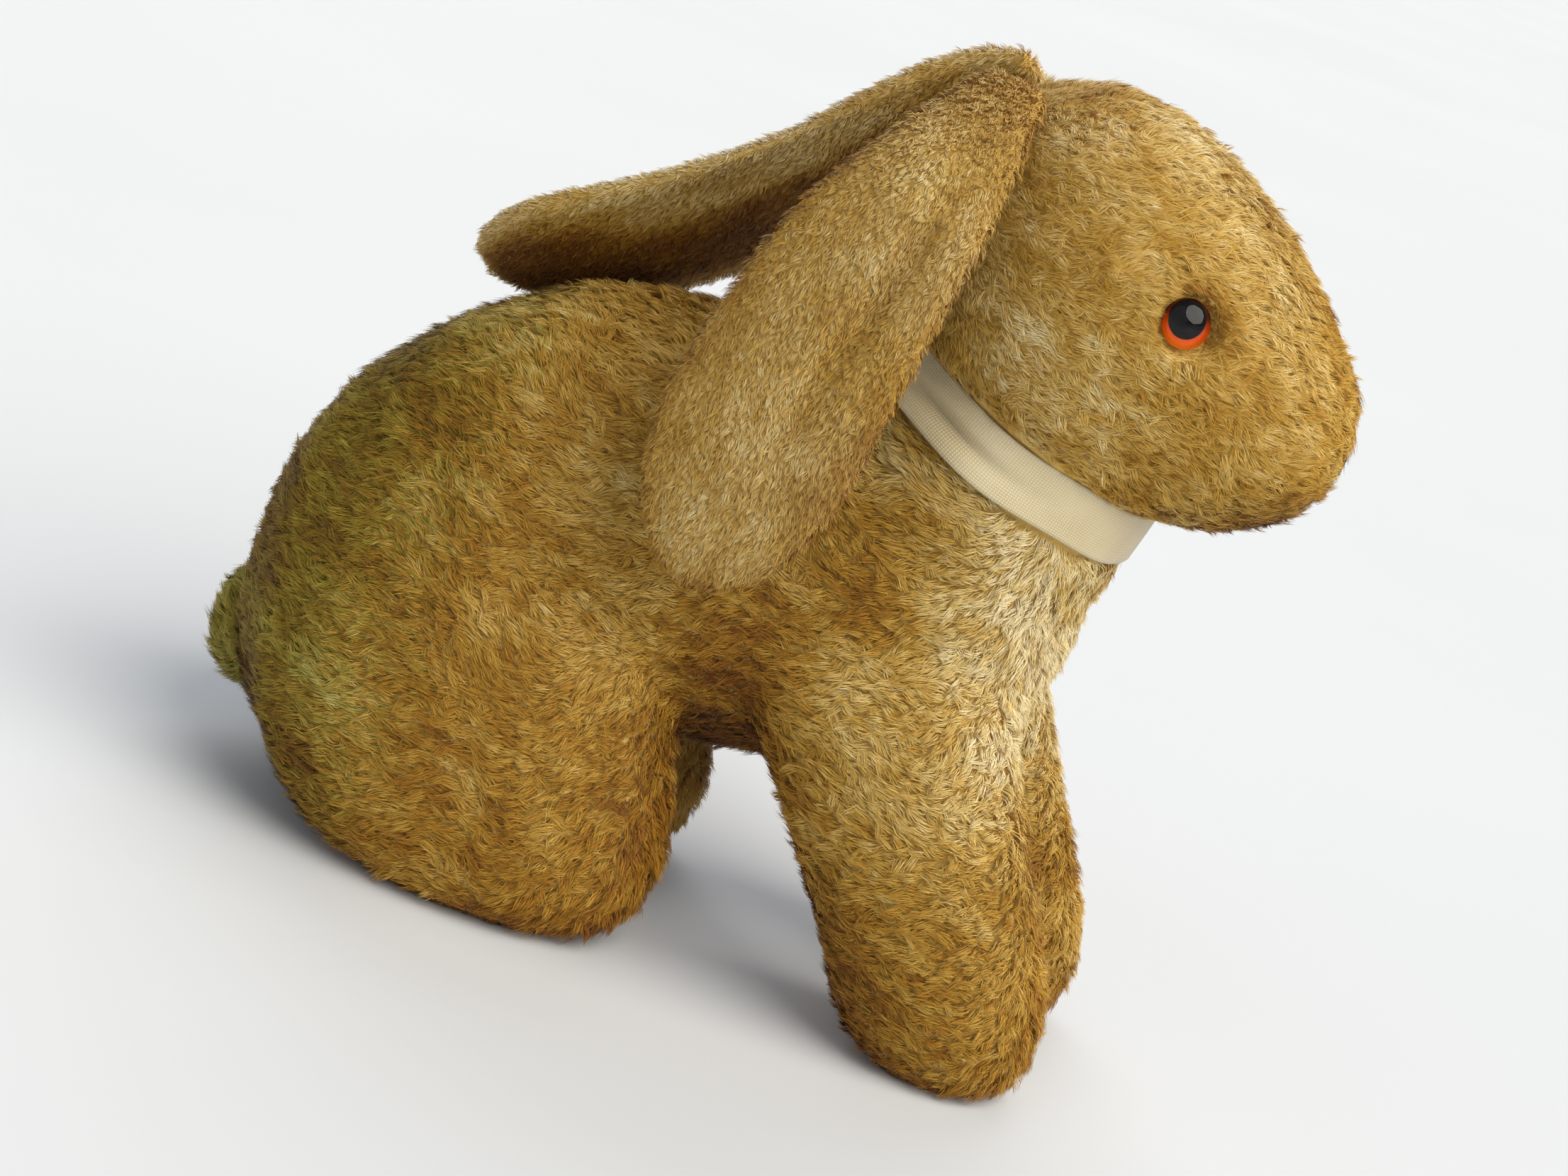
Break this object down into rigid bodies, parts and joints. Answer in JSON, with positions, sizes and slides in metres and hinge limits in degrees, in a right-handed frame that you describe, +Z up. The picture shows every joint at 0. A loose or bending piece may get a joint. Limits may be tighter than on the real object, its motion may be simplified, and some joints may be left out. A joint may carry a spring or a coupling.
{
  "type": "stuffed rabbit",
  "caption": "Mohair plush rabbit on all fours: sewn panels over stuffing, disc-and-pin neck joint, long hinged ears, glass eyes and a neck ribbon.",
  "frame": {"origin": "bottom centre of the whole toy's box, hanging ear included, on the plane the feet stand on; the toy's own middle plane is y = +4 mm", "axes": "+X is the way the rabbit faces, +Y is its left, +Z is up"},
  "size_m": [0.2149, 0.1045, 0.1991],
  "materials": {
    "mohair": "honey-gold woven-backed mohair plush, tufted pile",
    "wadding": "packed stuffing",
    "dark_thread": "matte embroidery thread",
    "ribbon": "ivory woven satin ribbon",
    "hardboard": "pressed hardboard",
    "steel": "plain steel",
    "eye_glass": "clear polished dome",
    "pupil": "black enamel behind the glass",
    "iris": "orange enamel behind the glass"
  },
  "bodies": {
    "trunk": {"body_side_left": "mohair", "body_side_right": "mohair", "underbody_gusset": "mohair", "body_stuffing": "wadding", "tail": "mohair", "neck_ribbon": "ribbon", "neck_disc_lower": "hardboard", "neck_washer_lower": "steel", "neck_pin": "steel"},
    "head": {"head_side_left": "mohair", "head_side_right": "mohair", "head_gusset": "mohair", "head_stuffing": "wadding", "nose_stitches": "dark_thread", "mouth_stitches": "dark_thread", "neck_disc_upper": "hardboard", "neck_washer_upper": "steel", "eye_left_glass": "eye_glass", "eye_left_pupil": "pupil", "eye_left_iris": "iris", "eye_left_shank": "steel", "eye_right_glass": "eye_glass", "eye_right_pupil": "pupil", "eye_right_iris": "iris", "eye_right_shank": "steel"},
    "ear_left": {"ear_left_outer": "mohair", "ear_left_inner": "mohair"},
    "ear_right": {"ear_right_outer": "mohair", "ear_right_inner": "mohair"}
  },
  "joints": [
    {"name": "head_swivel", "type": "hinge", "parent": "trunk", "child": "head", "pos_m": [0.0445, 0.004, 0.1285], "axis": [0.342, 0, 0.9397], "range_deg": [-15, 6]},
    {"name": "ear_left_lift", "type": "hinge", "parent": "head", "child": "ear_left", "pos_m": [0.023, 0.018, 0.1955], "axis": [0, 1, 0], "range_deg": [0, 70]},
    {"name": "ear_right_lift", "type": "hinge", "parent": "head", "child": "ear_right", "pos_m": [0.021, -0.011, 0.1965], "axis": [-1, 0, 0], "range_deg": [0, 75]}
  ]
}
